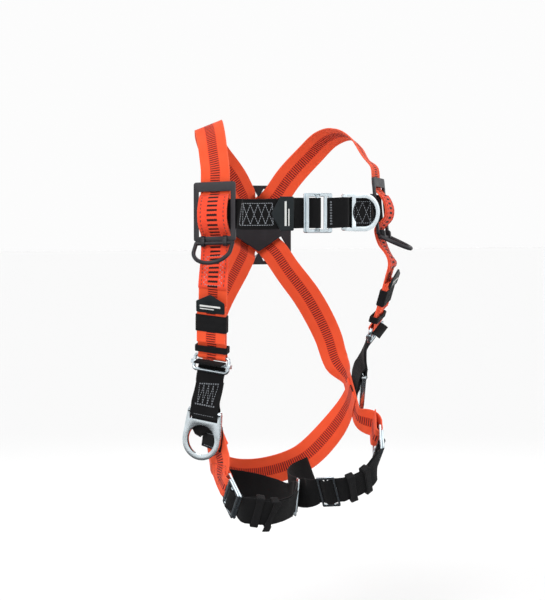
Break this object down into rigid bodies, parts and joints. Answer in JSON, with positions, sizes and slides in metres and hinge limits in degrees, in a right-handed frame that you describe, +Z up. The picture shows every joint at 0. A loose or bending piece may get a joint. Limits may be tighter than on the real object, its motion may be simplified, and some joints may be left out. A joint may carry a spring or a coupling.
{
  "type": "full body safety harness",
  "caption": "Full body fall-arrest harness in its worn shape, with orange shoulder webbing, black chest and leg straps, D-rings, mating buckles and plastic keepers.",
  "frame": {"origin": "midway between the undersides of the two shoulder straps at their highest place, where the harness rests on the wearer's shoulders", "axes": "+Z up the wearer's body, -Y the way the wearer faces, -X to the wearer's right"},
  "size_m": [0.3576, 0.303, 0.6086],
  "materials": {
    "orange_webbing": "polyester webbing, woven, with a darker centre stripe",
    "reinforcement_webbing": "polyester webbing with black woven bars",
    "black_webbing": "polyester webbing, woven",
    "elastic": "ribbed elastic",
    "tag_plastic": "moulded tag, satin",
    "keeper_plastic": "moulded plastic, fine texture",
    "ring_steel": "forged steel, plated and polished",
    "buckle_steel": "stamped steel, plated"
  },
  "bodies": {
    "harness": {"shoulder_strap_right": "orange_webbing", "shoulder_strap_left": "orange_webbing", "strap_reinforcement_right": "reinforcement_webbing", "strap_reinforcement_left": "reinforcement_webbing", "hip_strap_right": "black_webbing", "hip_strap_left": "black_webbing", "chest_strap_right": "black_webbing", "chest_strap_left": "black_webbing", "sub_pelvic_strap": "orange_webbing", "leg_strap_right": "black_webbing", "leg_strap_left": "black_webbing", "back_plate": "keeper_plastic", "chest_buckle_catch": "buckle_steel", "chest_buckle_frame": "buckle_steel", "chest_buckle_bar": "buckle_steel", "leg_buckle_catch_right": "buckle_steel", "leg_buckle_frame_right": "buckle_steel", "leg_buckle_bar_right": "buckle_steel", "leg_buckle_catch_left": "buckle_steel", "leg_buckle_frame_left": "buckle_steel", "leg_buckle_bar_left": "buckle_steel", "torso_adjuster_frame_right": "buckle_steel", "torso_adjuster_frame_left": "buckle_steel", "keeper_frame_right": "keeper_plastic", "keeper_frame_left": "keeper_plastic", "wrap_keeper_right": "elastic", "wrap_keeper_left": "elastic", "torso_tag_right": "tag_plastic", "torso_tag_left": "tag_plastic", "chest_tag": "tag_plastic", "leg_slide_right": "buckle_steel", "leg_slide_left": "buckle_steel", "leg_keeper_outer_right": "elastic", "leg_keeper_inner_right": "elastic", "leg_keeper_outer_left": "elastic", "leg_keeper_inner_left": "elastic"},
    "back_d_ring_body": {"back_d_ring": "ring_steel"},
    "chest_d_ring_body": {"chest_d_ring": "ring_steel"},
    "elastic_keeper_left_body": {"elastic_keeper_left": "elastic"},
    "elastic_keeper_right_body": {"elastic_keeper_right": "elastic"},
    "hip_d_ring_left_body": {"hip_d_ring_left": "ring_steel"},
    "hip_d_ring_right_body": {"hip_d_ring_right": "ring_steel"},
    "keeper_loop_left_body": {"keeper_loop_left": "keeper_plastic"},
    "keeper_loop_right_body": {"keeper_loop_right": "keeper_plastic"},
    "torso_adjuster_bar_left_body": {"torso_adjuster_bar_left": "buckle_steel"},
    "torso_adjuster_bar_right_body": {"torso_adjuster_bar_right": "buckle_steel"}
  },
  "joints": [
    {"name": "hip_d_ring_right_swing", "type": "hinge", "parent": "harness", "child": "hip_d_ring_right_body", "pos_m": [-0.15, -0.036, -0.427], "axis": [-0.6879, 0.7123, 0.1392], "range_deg": [0, 110]},
    {"name": "hip_d_ring_left_swing", "type": "hinge", "parent": "harness", "child": "hip_d_ring_left_body", "pos_m": [0.131, 0.014, -0.38], "axis": [-0.1928, -0.9069, -0.3746], "range_deg": [0, 110]},
    {"name": "chest_d_ring_swing", "type": "hinge", "parent": "harness", "child": "chest_d_ring_body", "pos_m": [0.046, -0.104, -0.13], "axis": [0, 0, -1], "range_deg": [0, 100]},
    {"name": "back_d_ring_swing", "type": "hinge", "parent": "harness", "child": "back_d_ring_body", "pos_m": [0, 0.1243, -0.15], "axis": [1, 0, 0], "range_deg": [0, 95]},
    {"name": "keeper_loop_right_swing", "type": "hinge", "parent": "harness", "child": "keeper_loop_right_body", "pos_m": [-0.14157, -0.05323, -0.1754], "axis": [-0.7898, 0.6124, -0.0347], "range_deg": [-25, 75]},
    {"name": "keeper_loop_left_swing", "type": "hinge", "parent": "harness", "child": "keeper_loop_left_body", "pos_m": [0.13988, -0.05242, -0.1674], "axis": [-0.6584, -0.7519, 0.0347], "range_deg": [-32, 60]},
    {"name": "torso_adjuster_bar_right_slide", "type": "slide", "parent": "harness", "child": "torso_adjuster_bar_right_body", "axis": [-0.1839, -0.0115, -0.9829], "range_m": [0, 0.002]},
    {"name": "torso_adjuster_bar_left_slide", "type": "slide", "parent": "harness", "child": "torso_adjuster_bar_left_body", "axis": [0.0587, 0.3758, -0.9249], "range_m": [0, 0.002]},
    {"name": "elastic_keeper_right_slide", "type": "slide", "parent": "harness", "child": "elastic_keeper_right_body", "axis": [0.0833, 0.2487, -0.965], "range_m": [-0.003, 0.006]},
    {"name": "elastic_keeper_left_slide", "type": "slide", "parent": "harness", "child": "elastic_keeper_left_body", "axis": [-0.1102, 0.3499, -0.9303], "range_m": [-0.003, 0.006]}
  ]
}
